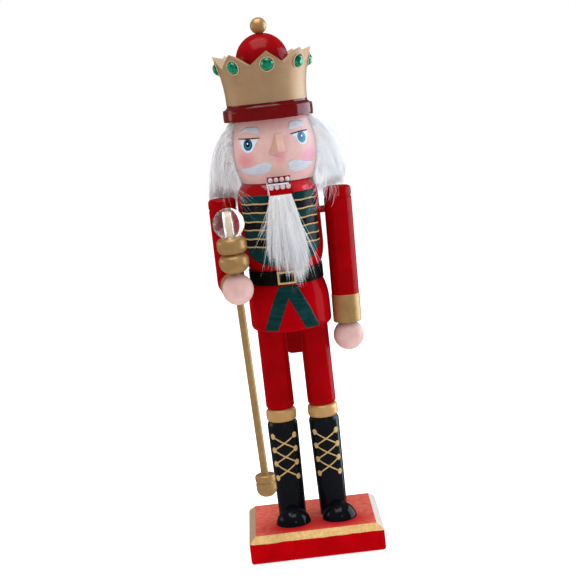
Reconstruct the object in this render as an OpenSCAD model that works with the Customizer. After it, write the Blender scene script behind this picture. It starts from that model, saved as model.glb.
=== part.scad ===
// A tall standing nutcracker king of turned wood, facing -Y, with its left side towards +X.
// The origin is the centre of the base's underside, and +Z is up. All sizes are in millimetres.

/* [Base] */
// Width of the base, side to side
base_width = 97; // [95:1:110]
// Depth of the base, front to back
base_depth = 81; // [78:1:96]
// Height of the base
base_height = 19.5; // [18:0.5:22]
// Run of the bevel round the top of the base
base_bevel = 5; // [3:0.5:6]
// Drop of that bevel
base_bevel_drop = 4.2; // [3:0.2:6]

/* [Legs] */
// Distance between the middles of the legs
leg_spacing = 30.5; // [30:0.5:32]
// Radius of a boot at its widest
boot_radius = 11; // [10.6:0.1:11.4]
// Height of a boot
boot_height = 74; // [70:1:78]
// Radius of the round shoe toe
toe_radius = 12.7; // [12.3:0.1:13]
// How far the left foot points outwards, in degrees
left_toe_out = 15; // [0:1:20]
// Height of a knee band
knee_band_height = 9.5; // [8:0.5:11]
// Radius of a trouser leg
trouser_radius = 10.3; // [9.8:0.1:10.6]
// Length of a trouser leg
trouser_height = 59.5; // [55:0.5:62]

/* [Body] */
// Largest radius of the coat
coat_radius = 29; // [28:0.5:29]
// Height of the coat skirt, from its hem to the waist joint
skirt_height = 39; // [37:0.5:40]
// Width of the belt
belt_width = 10; // [8:0.5:10.5]
// Outer radius of the belt
belt_radius = 26.6; // [26.2:0.1:27]
// Height of the torso, from the waist joint to the neck
torso_height = 67; // [66:0.5:68]

/* [Head and hat] */
// Largest radius of the head
head_radius = 29.3; // [28.8:0.1:29.5]
// Height of the head
head_height = 44; // [43:0.5:45]
// How far the head is turned towards the figure's left, in degrees
head_turn = 3.5; // [0:0.5:6]
// How far the head and the jaw stand to the left of the middle
head_shift = 1.7; // [0:0.1:2]
// Radius of the hat brim
brim_radius = 31.8; // [31:0.2:33]
// Height of the crown, from its foot to its points
crown_height = 35; // [33:0.5:37]
// Depth of the notches between the points
notch_depth = 9.3; // [7:0.1:11]
// How far the crown is turned towards the figure's left, in degrees
crown_turn = 4.5; // [0:0.5:8]
// Number of points, each with a gem
crown_points = 8; // [6:1:10]
// Radius of a gem
gem_radius = 4.3; // [3.6:0.1:4.6]
// Radius of the dome inside the crown
dome_radius = 18.5; // [17:0.5:20]
// Radius of the ball on the dome
finial_radius = 5.8; // [5:0.1:6.5]

/* [Arms] */
// Distance from the middle of the figure to the middle of an arm
arm_offset = 40; // [40:0.1:41]
// Radius of a sleeve
sleeve_radius = 9.9; // [9.4:0.1:10]
// Height of the top of the sleeves
sleeve_top = 259.5; // [258:0.5:260]
// Length of the left sleeve
left_sleeve_length = 78; // [74:1:80]
// How far the top of the left arm leans outwards, in degrees
left_arm_lean = 1.4; // [0:0.1:2]
// Radius of the left hand
left_hand_radius = 11; // [10:0.1:11.2]
// Radius of the right hand
right_hand_radius = 10.9; // [10:0.1:11]
// How far the right hand is held in front
right_reach = 38; // [36:0.5:40]

/* [Sceptre] */
// Radius of the sceptre's shaft
shaft_radius = 2.6; // [2.2:0.1:2.8]
// How far the top of the sceptre leans outwards, in degrees
sceptre_lean = 1.4; // [0:0.1:2]
// Radius of the clear ball
orb_radius = 10.9; // [10:0.1:11.2]
// Radius of the foot of the sceptre
foot_radius = 7.2; // [6.6:0.1:7.6]

/* [Jaw] */
// Width of the jaw and its lever
jaw_width = 16.2; // [15:0.1:16.6]
// Height of the lower end of the lever
lever_bottom = 135.5; // [130:0.5:145]

/* [Hidden] */
$fn = 96;

// Overlap that keeps cutting tools clear of the faces they cut through
eps = 0.5;

// Heights of the stacked pieces
boot_top = base_height + boot_height;
knee_top = boot_top + knee_band_height;
hem_z = knee_top + trouser_height;
waist_z = hem_z + skirt_height;
neck_z = waist_z + torso_height;
brim_z = neck_z + head_height;
brim_height = 11.5;
crown_z = brim_z + brim_height;
crown_top = crown_z + crown_height;

// Waist, under the belt
waist_radius = 25.4;
neck_radius = 23.6;

// Dowels
leg_dowel_radius = 3;
leg_dowel_seat = 12;
waist_dowel_radius = 5;
waist_dowel_seat = 15;
head_dowel_radius = 2.5;
head_dowel_offset = 16;
head_dowel_seat = 10;
hat_dowel_radius = 4;
shoulder_dowel_radius = 2.5;
wrist_dowel_radius = 2;
running_gap = 0.05;

// Shoulders
shoulder_z = sleeve_top - 15.5;
shoulder_seat = 11;
sleeve_seat = 7.5;
cuff_radius = 10.2;
left_cuff_top = sleeve_top - left_sleeve_length;
left_cuff_height = 20.4;
left_hand_drop = 30.4;
left_hand_z = left_cuff_top - left_hand_drop;
wrist_seat = 12;
shoulder_out = (shoulder_z - left_hand_z) * tan(left_arm_lean);

// Right arm: the elbow is under the shoulder, and the forearm comes forward and slightly inwards
elbow_z = 199;
hand_inset = 5.1;
forearm_turn = atan2(hand_inset, right_reach);
forearm_reach = sqrt(hand_inset * hand_inset + right_reach * right_reach);
forearm_radius = 9.6;
right_cuff_length = 8.3;
right_cuff_gap = 18.4;
right_cuff_start = forearm_reach - right_cuff_gap;
right_hand_x = hand_inset - arm_offset;

// Sceptre, measured along its shaft from the middle of the right hand
knob_low = 11.5;
knob_mid = 24.9;
knob_high = 37;
knob_radius = 10.4;
orb_height = 46.2;
foot_low = -149.8;
foot_high = -133.6;
shaft_low = foot_low + 5;
shaft_high = orb_height + orb_radius - 0.4;

// Jaw: the lever turns on a pin through the torso
pin_y = 2;
pin_z = 256;
pin_radius = 1.6;
pin_inner_end = -20;
pin_outer_end = 28.3;
slot_width = jaw_width + 1;
jaw_front = -33;
jaw_top = neck_z - 0.7;
tail_front = 31;
tail_thickness = 5.5;
lever_top = pin_z + 4;
lever_low = pin_z - 6;
pocket_floor = neck_z - 35;

// Crown wall: a ring that flares with a round section
flare_radius = 100;
crown_foot_radius = 28.6;
crown_wall = 6.5;
gem_z = crown_top - notch_depth + 0.3;
gem_seat = 1;

// Rounded edges and grooves of the turned pieces
trouser_round = 2.6;
knee_band_round = 2.8;
groove_radius = 0.9;

// A turned bar standing on the origin, with rounded lower and upper edges
module turned_profile(r, h, low, high) {
    square([r - max(low, high), h]);
    translate([0, low]) square([r, h - low - high]);
    intersection() {
        square([r, h]);
        union() {
            if (low > 0) {
                square([r - low, h / 2]);
                translate([r - low, low]) circle(low);
            }
            if (high > 0) {
                translate([0, h / 2]) square([r - high, h / 2]);
                translate([r - high, h - high]) circle(high);
            }
        }
    }
}

module turned_bar(r, h, low, high) {
    rotate_extrude()
        turned_profile(r, h, low, high);
}

// A barrel standing on the origin: r_end at both ends and r_mid at half its height
module barrel(r_end, r_mid, h) {
    bulge = r_mid - r_end;
    arc = (h * h / 4 + bulge * bulge) / (2 * bulge);
    rotate_extrude()
        intersection() {
            square([r_mid + 1, h]);
            translate([r_mid - arc, h / 2]) circle(arc);
        }
}

// A straight hole or dowel along +X, from x0 to x1
module x_bar(r, x0, x1) {
    translate([x0, 0, 0])
        rotate([0, 90, 0])
            cylinder(r = r, h = x1 - x0);
}

// An outline in the YZ plane, given a width along X and centred on it
module side_outline(points, width) {
    rotate([90, 0, 90])
        linear_extrude(width, center = true)
            polygon(points);
}

// ---- Base ----

module leg_places() {
    for (side = [-1, 1])
        translate([side * leg_spacing / 2, 0, 0])
            children();
}

module base_outline() {
    corner = 3.2;
    union() {
        square([base_width - 2 * corner, base_depth], center = true);
        square([base_width, base_depth - 2 * corner], center = true);
        for (x = [-1, 1], y = [-1, 1])
            translate([x * (base_width / 2 - corner), y * (base_depth / 2 - corner)])
                circle(corner);
    }
}

// What is taken off the section to round the lower edge along one side
module lower_edge_cut(half_width, length) {
    edge_round = 2.4;
    rotate([90, 0, 0])
        linear_extrude(length + 20, center = true)
            difference() {
                translate([half_width - edge_round, -1]) square(edge_round + 1);
                translate([half_width - edge_round, edge_round]) circle(edge_round);
            }
}

// The corner of the section that a bevel takes away, along one edge
module bevel_cut(half_width, length) {
    rotate([90, 0, 0])
        linear_extrude(length + 20, center = true)
            polygon([
                [half_width - base_bevel, base_height],
                [half_width + base_bevel, base_height - 2 * base_bevel_drop],
                [half_width + base_bevel, base_height + 1],
                [half_width - base_bevel, base_height + 1]
            ]);
}

module base_block() {
    color("firebrick")
        difference() {
            linear_extrude(base_height) base_outline();
            for (turn = [0, 180])
                rotate([0, 0, turn]) {
                    bevel_cut(base_width / 2, base_depth);
                    lower_edge_cut(base_width / 2, base_depth);
                }
            for (turn = [90, 270])
                rotate([0, 0, turn]) {
                    bevel_cut(base_depth / 2, base_width);
                    lower_edge_cut(base_depth / 2, base_width);
                }
            leg_places()
                translate([0, 0, base_height - leg_dowel_seat])
                    cylinder(r = leg_dowel_radius, h = leg_dowel_seat + eps);
        }
}

// ---- Legs ----

boot_foot_radius = boot_radius - 1.1;
boot_lip = 2.2;
boot_waist = 3;
toe_reach = 25.6;

module boot_solid() {
    rotate_extrude()
        polygon([
            [0, 0],
            [boot_foot_radius, 0],
            [boot_radius, boot_height - boot_lip - boot_waist],
            [boot_radius, boot_height - boot_lip],
            [boot_radius - 1, boot_height],
            [0, boot_height]
        ]);
}

module boot(side) {
    color("black")
        translate([side * leg_spacing / 2, 0, base_height])
            difference() {
                boot_solid();
                translate([0, 0, -eps])
                    cylinder(r = leg_dowel_radius, h = boot_height + 2 * eps);
            }
}

module shoe_toe(side, toe_out) {
    sunk = 1.6;
    color("black")
        translate([side * leg_spacing / 2, 0, base_height])
            rotate([0, 0, side * toe_out])
                difference() {
                    translate([0, toe_radius - toe_reach, -sunk]) sphere(toe_radius);
                    translate([0, 0, -25]) cube([60, 80, 50], center = true);
                    boot_solid();
                }
}

module knee_band(side) {
    color("goldenrod")
        translate([side * leg_spacing / 2, 0, boot_top])
            difference() {
                turned_bar(boot_radius, knee_band_height, knee_band_round, knee_band_round);
                translate([0, 0, -eps])
                    cylinder(r = leg_dowel_radius, h = knee_band_height + 2 * eps);
            }
}

module trouser_leg(side) {
    color("red")
        translate([side * leg_spacing / 2, 0, knee_top])
            difference() {
                turned_bar(trouser_radius, trouser_height, trouser_round, 0);
                translate([0, 0, -eps])
                    cylinder(r = leg_dowel_radius, h = trouser_height + 2 * eps);
            }
}

module leg_dowel(side) {
    color("burlywood")
        translate([side * leg_spacing / 2, 0, base_height - leg_dowel_seat])
            cylinder(r = leg_dowel_radius, h = hem_z - base_height + 2 * leg_dowel_seat);
}

// ---- Body ----

// Half section of the skirt: a rounded hem, a straight side, a shoulder that curves in, and the waist
module skirt_profile() {
    hem_round = 4.3;
    shoulder_low = 17.5;
    shoulder_high = waist_z - belt_width / 2 - hem_z;
    rise = shoulder_high - shoulder_low;
    pull_in = 3.4;
    arc = (rise * rise + pull_in * pull_in) / (2 * pull_in);
    square([waist_radius, skirt_height]);
    square([coat_radius - hem_round, shoulder_low]);
    translate([0, hem_round]) square([coat_radius, shoulder_low - hem_round]);
    translate([coat_radius - hem_round, hem_round]) circle(hem_round);
    intersection() {
        translate([0, shoulder_low]) square([coat_radius + 1, rise]);
        translate([coat_radius - arc, shoulder_low]) circle(arc);
    }
}

module coat_skirt() {
    color("red")
        difference() {
            translate([0, 0, hem_z])
                rotate_extrude() skirt_profile();
            leg_places()
                translate([0, 0, hem_z - eps])
                    cylinder(r = leg_dowel_radius, h = leg_dowel_seat + eps);
            translate([0, 0, waist_z - waist_dowel_seat])
                cylinder(r = waist_dowel_radius, h = waist_dowel_seat + eps);
        }
}

module waist_dowel() {
    color("burlywood")
        translate([0, 0, waist_z - waist_dowel_seat])
            cylinder(r = waist_dowel_radius, h = 2 * waist_dowel_seat);
}

module belt() {
    color("black")
        translate([0, 0, waist_z - belt_width / 2])
            difference() {
                cylinder(r = belt_radius, h = belt_width);
                translate([0, 0, -eps])
                    cylinder(r = waist_radius, h = belt_width + 2 * eps);
            }
}

// Half section of the torso: the waist, a curve out to the chest, and the round shoulders up to the neck
module torso_profile() {
    chest_low = 21;
    chest_high = torso_height - 12;
    low_rise = chest_low - belt_width / 2;
    low_pull = coat_radius - waist_radius;
    low_arc = (low_rise * low_rise + low_pull * low_pull) / (2 * low_pull);
    top_rise = torso_height - chest_high;
    top_pull = coat_radius - neck_radius;
    top_arc = (top_rise * top_rise + top_pull * top_pull) / (2 * top_pull);
    square([waist_radius, belt_width / 2]);
    intersection() {
        translate([0, belt_width / 2]) square([coat_radius + 1, low_rise]);
        translate([coat_radius - low_arc, chest_low]) circle(low_arc);
    }
    translate([0, chest_low]) square([coat_radius, chest_high - chest_low]);
    square([neck_radius - 2, torso_height]);
    intersection() {
        translate([0, chest_high]) square([coat_radius + 1, top_rise]);
        translate([coat_radius - top_arc, chest_high]) circle(top_arc);
    }
}

// The slot for the jaw and its lever, open to the front, the back and the neck
module jaw_slot() {
    far = coat_radius + 10;
    pocket_back = -13;
    step_high = 10;
    lever_floor = lever_low - 0.7;
    ramp_end = 4.5;
    translate([head_shift, 0, 0])
        side_outline([
            [-far, neck_z + 1],
            [-far, pocket_floor],
            [pocket_back, pocket_floor],
            [pocket_back, pocket_floor + step_high],
            [ramp_end, lever_floor],
            [far, lever_floor],
            [far, neck_z + 1]
        ], slot_width);
}

module torso() {
    color("red")
        difference() {
            translate([0, 0, waist_z])
                rotate_extrude() torso_profile();
            jaw_slot();
            translate([0, 0, waist_z - eps])
                cylinder(r = waist_dowel_radius, h = waist_dowel_seat + eps);
            for (side = [-1, 1])
                translate([head_shift + side * head_dowel_offset, 0, neck_z - head_dowel_seat])
                    cylinder(r = head_dowel_radius, h = head_dowel_seat + eps);
            translate([0, pin_y, pin_z])
                x_bar(pin_radius, pin_inner_end, coat_radius + 3);
            for (turn = [0, 180])
                rotate([0, 0, turn])
                    translate([0, 0, shoulder_z])
                        x_bar(shoulder_dowel_radius + running_gap, coat_radius - shoulder_seat - eps, coat_radius + 3);
        }
}

module jaw_pin() {
    color("silver")
        translate([0, pin_y, pin_z])
            x_bar(pin_radius, pin_inner_end, pin_outer_end);
}

module head_dowels() {
    color("burlywood")
        for (side = [-1, 1])
            translate([head_shift + side * head_dowel_offset, 0, neck_z - head_dowel_seat])
                cylinder(r = head_dowel_radius, h = 2 * head_dowel_seat);
}

// ---- Jaw ----

module jaw_block() {
    block_back = -21;
    block_low = pin_z - 11;
    lip_back = -16;
    rise = 4;
    color("red")
        difference() {
            translate([head_shift, 0, 0])
                side_outline([
                    [jaw_front, jaw_top],
                    [jaw_front, block_low],
                    [block_back, block_low],
                    [block_back + rise, lever_low],
                    [tail_front, lever_low],
                    [tail_front, lever_top],
                    [lip_back + rise, lever_top],
                    [lip_back, jaw_top]
                ], jaw_width);
            translate([0, pin_y, pin_z])
                x_bar(pin_radius + running_gap, -jaw_width, jaw_width);
        }
}

module jaw_lever_tail() {
    corner = 5;
    length = lever_top - lever_bottom;
    color("red")
        translate([head_shift, tail_front + tail_thickness, lever_bottom])
            rotate([90, 0, 0])
                linear_extrude(tail_thickness) {
                    translate([-jaw_width / 2, corner]) square([jaw_width, length - corner]);
                    translate([corner - jaw_width / 2, 0]) square([jaw_width - 2 * corner, length]);
                    for (side = [-1, 1])
                        translate([side * (jaw_width / 2 - corner), corner]) circle(corner);
                }
}

// The beard hangs from the front of the jaw and lies closer to the coat below it. Its outlines are
// [distance to the left, height above the neck].
module beard_slab(points, back, front) {
    translate([head_shift, back, neck_z])
        rotate([90, 0, 0])
            linear_extrude(back - front)
                polygon(points);
}

module beard() {
    front = -38.5;
    chin_back = -33.3;
    chest_back = -30.3;
    color("white")
        union() {
            beard_slab([
                [-7.5, -7.5], [8.5, -7.5], [12, -23.5], [12.8, -30.5], [-9.3, -30.5], [-8.5, -23.5]
            ], chin_back, front);
            beard_slab([
                [-9.3, -28.5], [12.5, -28.5], [15, -42.5], [17.5, -55.5], [13, -65.5], [8, -71],
                [1, -70], [-7, -63.5], [-12.5, -55.5], [-10.5, -40.5]
            ], chest_back, front);
        }
}

// ---- Head and hat ----

head_taper = 4.6;

module head_solid() {
    translate([head_shift, 0, neck_z])
        barrel(head_radius - head_taper, head_radius, head_height);
}

module head() {
    color("peachpuff")
        difference() {
            head_solid();
            for (side = [-1, 1])
                translate([head_shift + side * head_dowel_offset, 0, neck_z - eps])
                    cylinder(r = head_dowel_radius, h = head_dowel_seat + eps);
            translate([0, 0, brim_z - head_dowel_seat])
                cylinder(r = hat_dowel_radius, h = head_dowel_seat + eps);
        }
}

// A wedge with a narrow ridge, wider towards the right cheek, and an underside that slopes back to the lip
module nose() {
    bridge_radius = 1.15;
    bridge_half = 1.6;
    tip_radius = 1.35;
    tip_half = 1.5;
    wing_radius = 1.8;
    lip_radius = 1.1;
    color("peachpuff")
        difference() {
            translate([head_shift, 0, neck_z])
                rotate([0, 0, head_turn])
                    hull() {
                        for (side = [-1, 1]) {
                            translate([1.4 + side * bridge_half, -27.8, 32.6]) sphere(bridge_radius, $fn = 24);
                            translate([1.75 + side * tip_half, -33.6, 22.2]) sphere(tip_radius, $fn = 24);
                        }
                        for (x = [-5, 3.2])
                            translate([x, -27.8, 21]) sphere(wing_radius, $fn = 24);
                        translate([1.2, -28.2, 17.8]) sphere(lip_radius, $fn = 24);
                    }
            head_solid($fn = 480);
        }
}

// Hair round the sides and the back of the head, parted at the back over the lever. Its half section
// is [radius, height above the neck].
module hair() {
    front_lap = 10;
    parting = [21, 40, 30];
    color("white")
        translate([head_shift, 0, neck_z])
            difference() {
                rotate([0, 0, -front_lap])
                    rotate_extrude(angle = 180 + 2 * front_lap)
                        polygon([
                            [29.8, -3.5],
                            [48, -3.5],
                            [47, 7.5],
                            [43, 21.5],
                            [37, 34.5],
                            [31.5, head_height],
                            [26.2, head_height],
                            [29.8, 31.5]
                        ]);
                translate([0, 40, -8.5]) cube(parting, center = true);
            }
}

module hat_brim() {
    band = 7.5;
    cove = 3.4;
    color("firebrick")
        difference() {
            translate([0, 0, brim_z])
                rotate_extrude() {
                    turned_profile(brim_radius, band + 0.5, 1.6, 1.6);
                    difference() {
                        square([brim_radius - 0.2, brim_height]);
                        translate([brim_radius, brim_height]) circle(cove);
                    }
                }
            translate([0, 0, brim_z - eps])
                cylinder(r = hat_dowel_radius, h = brim_height + 2 * eps);
        }
}

module hat_dowel() {
    color("burlywood")
        translate([0, 0, brim_z - head_dowel_seat])
            cylinder(r = hat_dowel_radius, h = brim_height + 2 * head_dowel_seat);
}

// Half section of the crown's flaring wall
module crown_profile() {
    intersection() {
        translate([crown_foot_radius - crown_wall - 1, 0]) square([crown_wall + 14, crown_height]);
        translate([crown_foot_radius + flare_radius, 0])
            difference() {
                circle(flare_radius + crown_wall);
                circle(flare_radius);
            }
    }
}

// Outer radius of the crown at a height above its foot
function crown_radius(h) = crown_foot_radius + flare_radius - sqrt(flare_radius * flare_radius - h * h);

module notch() {
    half = crown_radius(crown_height) * sin(180 / crown_points);
    over = 1.7;
    rotate([90, 0, 0])
        linear_extrude(2 * coat_radius)
            polygon([[0, 0], [half * over, notch_depth * over], [-half * over, notch_depth * over]]);
}

// Puts a child on the crown's wall at each gem, with +Z pointing out of the wall
module gem_places() {
    h = gem_z - crown_z;
    for (i = [0 : crown_points - 1])
        rotate([0, 0, crown_turn + i * 360 / crown_points])
            translate([0, -crown_radius(h), gem_z])
                rotate([90 + asin(h / flare_radius), 0, 0])
                    children();
}

module crown() {
    color("goldenrod")
        difference() {
            translate([0, 0, crown_z])
                rotate_extrude() crown_profile();
            for (i = [0 : crown_points - 1])
                rotate([0, 0, crown_turn + (i + 0.5) * 360 / crown_points])
                    translate([0, 0, crown_top - notch_depth]) notch();
            gem_places()
                translate([0, 0, -gem_seat]) cylinder(r = gem_radius, h = 5);
        }
}

// A round flat-backed gem with a domed face
module crown_gems() {
    girdle = gem_seat + 0.9;
    dome = 2.7;
    arc = (gem_radius * gem_radius + dome * dome) / (2 * dome);
    color("seagreen")
        gem_places()
            translate([0, 0, -gem_seat])
                rotate_extrude() {
                    square([gem_radius, girdle]);
                    intersection() {
                        translate([0, girdle]) square([gem_radius, dome]);
                        translate([0, girdle + dome - arc]) circle(arc);
                    }
                }
}

dome_middle = 29.5;

module dome_solid() {
    translate([0, 0, crown_z])
        rotate_extrude() {
            square([dome_radius, dome_middle]);
            intersection() {
                translate([0, dome_middle]) circle(dome_radius);
                square([dome_radius + 1, dome_middle + dome_radius + 1]);
            }
        }
}

module crown_dome() {
    color("red")
        difference() {
            dome_solid();
            translate([0, 0, crown_z - eps])
                cylinder(r = hat_dowel_radius, h = head_dowel_seat + eps);
        }
}

module finial_ball() {
    color("goldenrod")
        difference() {
            translate([0, 0, crown_z + dome_middle + dome_radius + finial_radius - 0.8])
                sphere(finial_radius);
            dome_solid();
        }
}

// ---- Left arm ----

// A sleeve standing on the origin, with a rounded top and a turned groove below it
module sleeve_bar(length) {
    groove_drop = 7.5;
    groove_out = 0.4;
    top_round = 2.6;
    rotate_extrude()
        difference() {
            turned_profile(sleeve_radius, length, 0, top_round);
            translate([sleeve_radius + groove_out, length - groove_drop]) circle(groove_radius);
        }
}

// Leans the left arm about the middle of its hand
module left_arm_frame() {
    translate([arm_offset, 0, left_hand_z])
        rotate([0, left_arm_lean, 0])
            children();
}

module left_sleeve() {
    color("red")
        difference() {
            left_arm_frame()
                difference() {
                    translate([0, 0, left_hand_drop]) sleeve_bar(left_sleeve_length);
                    cylinder(r = wrist_dowel_radius, h = left_hand_drop + wrist_seat);
                }
            translate([0, 0, shoulder_z])
                x_bar(shoulder_dowel_radius, 0, arm_offset - sleeve_radius + sleeve_seat + shoulder_out);
        }
}

module left_cuff() {
    color("goldenrod")
        left_arm_frame()
            translate([0, 0, left_hand_drop - left_cuff_height])
                difference() {
                    turned_bar(cuff_radius, left_cuff_height, 1, 0.5);
                    translate([0, 0, -eps])
                        cylinder(r = wrist_dowel_radius, h = left_cuff_height + 2 * eps);
                }
}

module left_hand() {
    color("peachpuff")
        left_arm_frame()
            difference() {
                sphere(left_hand_radius);
                translate([0, 0, left_hand_drop - left_cuff_height])
                    cylinder(r = cuff_radius, h = left_hand_radius);
                cylinder(r = wrist_dowel_radius, h = left_hand_radius);
            }
}

module left_wrist_dowel() {
    color("burlywood")
        left_arm_frame()
            cylinder(r = wrist_dowel_radius, h = left_hand_drop + wrist_seat);
}

// A dowel from inside the torso to the bottom of the hole in the sleeve
module shoulder_dowel(side, out) {
    inner_end = coat_radius - shoulder_seat;
    outer_end = arm_offset - sleeve_radius + sleeve_seat + out;
    color("burlywood")
        translate([0, 0, shoulder_z])
            mirror([side < 0 ? 1 : 0, 0, 0])
                x_bar(shoulder_dowel_radius, inner_end, outer_end);
}

// ---- Right arm ----

// Everything on one side of the elbow's mitre: side is 1 for the sleeve's side and -1 for the forearm's
module mitre_half(side) {
    translate([-arm_offset, 0, elbow_z])
        rotate([-45, 0, 0])
            translate([0, 0, side * 60]) cube([120, 120, 120], center = true);
}

module right_upper_sleeve() {
    low = elbow_z - 12;
    color("red")
        difference() {
            translate([-arm_offset, 0, low]) sleeve_bar(sleeve_top - low);
            mitre_half(-1);
            translate([0, 0, shoulder_z])
                x_bar(shoulder_dowel_radius, -(arm_offset - sleeve_radius + sleeve_seat), 0);
        }
}

// Places a child at the elbow with +Z along the forearm
module forearm_frame() {
    translate([-arm_offset, 0, elbow_z])
        rotate([0, 0, forearm_turn])
            rotate([90, 0, 0])
                children();
}

module right_forearm() {
    color("red")
        difference() {
            forearm_frame()
                translate([0, 0, -15]) cylinder(r = forearm_radius, h = right_cuff_start + 15);
            mitre_half(1);
            forearm_frame()
                translate([0, 0, right_cuff_start - 10]) cylinder(r = wrist_dowel_radius, h = 20);
        }
}

module right_cuff() {
    color("goldenrod")
        forearm_frame()
            translate([0, 0, right_cuff_start])
                difference() {
                    turned_bar(cuff_radius, right_cuff_length, 0.5, 1);
                    translate([0, 0, -eps])
                        cylinder(r = wrist_dowel_radius, h = right_cuff_length + 2 * eps);
                }
}

module right_hand() {
    color("peachpuff")
        difference() {
            forearm_frame()
                difference() {
                    translate([0, 0, forearm_reach]) sphere(right_hand_radius);
                    translate([0, 0, right_cuff_start - 20])
                        cylinder(r = cuff_radius, h = right_cuff_length + 20);
                    translate([0, 0, right_cuff_start])
                        cylinder(r = wrist_dowel_radius, h = forearm_reach - 4 - right_cuff_start);
                }
            sceptre_frame()
                translate([0, 0, -20]) cylinder(r = shaft_radius, h = 40);
        }
}

module right_wrist_dowel() {
    color("burlywood")
        forearm_frame()
            translate([0, 0, right_cuff_start - 10])
                cylinder(r = wrist_dowel_radius, h = forearm_reach - 4 - right_cuff_start + 10);
}

// ---- Sceptre ----

// Places a child at the middle of the right hand with +Z up the sceptre's shaft
module sceptre_frame() {
    translate([right_hand_x, -right_reach, elbow_z])
        rotate([0, -sceptre_lean, 0])
            children();
}

module sceptre_shaft() {
    color("goldenrod")
        sceptre_frame()
            translate([0, 0, shaft_low]) cylinder(r = shaft_radius, h = shaft_high - shaft_low);
}

module sceptre_knob_lower() {
    low_round = 7.4;
    high_round = 4.4;
    color("goldenrod")
        sceptre_frame()
            difference() {
                translate([0, 0, knob_low]) turned_bar(knob_radius, knob_mid - knob_low, low_round, high_round);
                translate([0, 0, knob_low - eps])
                    cylinder(r = shaft_radius, h = knob_mid - knob_low + 2 * eps);
            }
}

module sceptre_knob_upper() {
    low_round = 4.8;
    high_round = 4.4;
    color("goldenrod")
        sceptre_frame()
            difference() {
                translate([0, 0, knob_mid]) turned_bar(knob_radius, knob_high - knob_mid, low_round, high_round);
                translate([0, 0, orb_height]) sphere(orb_radius);
                translate([0, 0, knob_mid - eps])
                    cylinder(r = shaft_radius, h = knob_high - knob_mid + 2 * eps);
            }
}

module sceptre_ball() {
    color("lightcyan", 0.4)
        sceptre_frame()
            difference() {
                translate([0, 0, orb_height]) sphere(orb_radius);
                translate([0, 0, orb_height - 20]) cylinder(r = shaft_radius, h = 40);
            }
}

module sceptre_foot() {
    length = foot_high - foot_low;
    tip_round = 6;
    rim_round = 1.4;
    groove_drop = 5.4;
    groove_out = 0.1;
    color("goldenrod")
        sceptre_frame()
            difference() {
                translate([0, 0, foot_low])
                    rotate_extrude()
                        difference() {
                            turned_profile(foot_radius, length, tip_round, rim_round);
                            translate([foot_radius + groove_out, length - groove_drop]) circle(groove_radius);
                        }
                translate([0, 0, shaft_low]) cylinder(r = shaft_radius, h = 20);
            }
}

base_block();
boot(-1);  // right_boot
boot(1);  // left_boot
shoe_toe(-1, 0);  // right_shoe_toe
shoe_toe(1, left_toe_out);  // left_shoe_toe
knee_band(-1);  // right_knee_band
knee_band(1);  // left_knee_band
trouser_leg(-1);  // right_trouser_leg
trouser_leg(1);  // left_trouser_leg
leg_dowel(-1);  // right_leg_dowel
leg_dowel(1);  // left_leg_dowel
coat_skirt();
waist_dowel();
belt();
torso();
jaw_pin();
head_dowels();
jaw_block();
jaw_lever_tail();
beard();
head();
nose();
hair();
hat_brim();
hat_dowel();
crown();
crown_gems();
crown_dome();
finial_ball();
left_sleeve();
left_cuff();
left_hand();
shoulder_dowel(1, shoulder_out);  // left_shoulder_dowel
left_wrist_dowel();
right_upper_sleeve();
right_forearm();
right_cuff();
right_hand();
shoulder_dowel(-1, 0);  // right_shoulder_dowel
right_wrist_dowel();
sceptre_shaft();
sceptre_knob_lower();
sceptre_knob_upper();
sceptre_ball();
sceptre_foot();
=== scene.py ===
"""The looks of a nutcracker king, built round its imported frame: paint, fur, gems, light and camera.

Lengths in this script are millimetres, turned into Blender's metres by MM where a mesh, light or
camera is made. Angles are degrees. The figure faces -Y, and an angle round it runs from 0 at the
front to 90 at its left side (+X).
"""
from math import asin, ceil, cos, hypot, pi, radians, sin, sqrt

import bpy
import numpy as np
from mathutils import Matrix, Vector
from mathutils.bvhtree import BVHTree
from mathutils.geometry import delaunay_2d_cdt


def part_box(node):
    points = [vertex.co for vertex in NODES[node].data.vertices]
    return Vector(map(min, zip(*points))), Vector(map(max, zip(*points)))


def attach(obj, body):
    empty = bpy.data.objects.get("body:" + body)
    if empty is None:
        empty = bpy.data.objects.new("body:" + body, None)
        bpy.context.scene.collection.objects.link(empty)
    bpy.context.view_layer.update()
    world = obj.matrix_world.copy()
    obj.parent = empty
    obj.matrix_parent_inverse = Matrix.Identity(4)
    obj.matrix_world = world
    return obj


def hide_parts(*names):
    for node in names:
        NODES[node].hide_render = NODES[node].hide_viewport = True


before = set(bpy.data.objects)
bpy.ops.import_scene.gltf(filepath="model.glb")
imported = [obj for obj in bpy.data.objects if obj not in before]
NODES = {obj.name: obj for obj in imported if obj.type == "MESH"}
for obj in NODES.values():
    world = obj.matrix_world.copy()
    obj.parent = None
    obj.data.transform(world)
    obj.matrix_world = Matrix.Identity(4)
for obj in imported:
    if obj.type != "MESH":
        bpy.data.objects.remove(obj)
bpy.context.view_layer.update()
MM = 0.001


def low(node):
    """The lowest corner of a CAD node, in millimetres."""
    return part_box(node)[0] / MM


def high(node):
    """The highest corner of a CAD node, in millimetres."""
    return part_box(node)[1] / MM


def middle(node):
    """The middle of a CAD node's box, in millimetres."""
    return (low(node) + high(node)) / 2


def show(name, data):
    """A new object in the scene."""
    piece = bpy.data.objects.new(name, data)
    bpy.context.scene.collection.objects.link(piece)
    return piece


# ---- Camera ----

CAMERA_DISTANCE = 1000
CAMERA_HEIGHT = 349
CAMERA_AZIMUTH = -0.69
CAMERA_PITCH = 9.04
CAMERA_ROLL = -6.5
LENS = 87.8


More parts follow.
